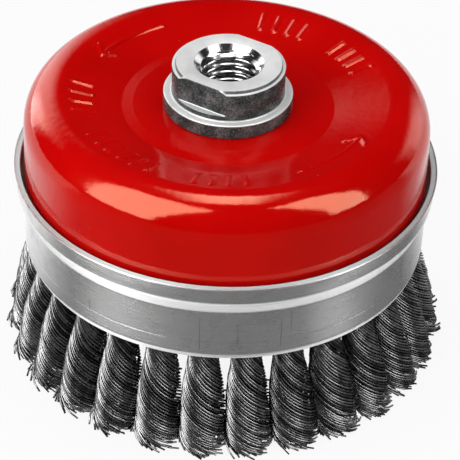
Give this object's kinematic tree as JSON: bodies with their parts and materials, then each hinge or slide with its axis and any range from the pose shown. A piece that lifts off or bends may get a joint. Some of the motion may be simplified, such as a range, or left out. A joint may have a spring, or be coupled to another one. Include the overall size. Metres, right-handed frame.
{
  "type": "wire cup brush",
  "caption": "Twist-knot wire cup brush with a painted steel cup, a stepped support ring and a threaded arbor nut for an angle grinder.",
  "frame": {"origin": "centre of the circle that the wire tips stand on, on the spindle's axis", "axes": "+Z along the spindle's axis, out of the nut; +X to the right and +Y away in the picture"},
  "size_m": [0.1022, 0.1022, 0.0707],
  "materials": {
    "red_paint": "glossy red enamel",
    "galvanised_ring": "rolled galvanised sheet, fine lines round it",
    "carrier_steel": "plain pressed steel, lightly oiled",
    "plated_nut": "zinc plated, turned",
    "brush_wire": "hard drawn wire, dark grey with bright flanks"
  },
  "bodies": {
    "root": {"outer_cup": "red_paint", "support_ring": "galvanised_ring", "knot_carrier": "carrier_steel", "arbor_nut": "plated_nut", "knot_01": "brush_wire", "knot_02": "brush_wire", "knot_03": "brush_wire", "knot_04": "brush_wire", "knot_05": "brush_wire", "knot_06": "brush_wire", "knot_07": "brush_wire", "knot_08": "brush_wire", "knot_09": "brush_wire", "knot_10": "brush_wire", "knot_11": "brush_wire", "knot_12": "brush_wire", "knot_13": "brush_wire", "knot_14": "brush_wire", "knot_15": "brush_wire", "knot_16": "brush_wire", "knot_17": "brush_wire", "knot_18": "brush_wire", "knot_19": "brush_wire", "knot_20": "brush_wire", "knot_21": "brush_wire", "knot_22": "brush_wire", "knot_23": "brush_wire", "knot_24": "brush_wire", "knot_25": "brush_wire", "knot_26": "brush_wire", "knot_27": "brush_wire", "knot_28": "brush_wire"}
  },
  "joints": []
}
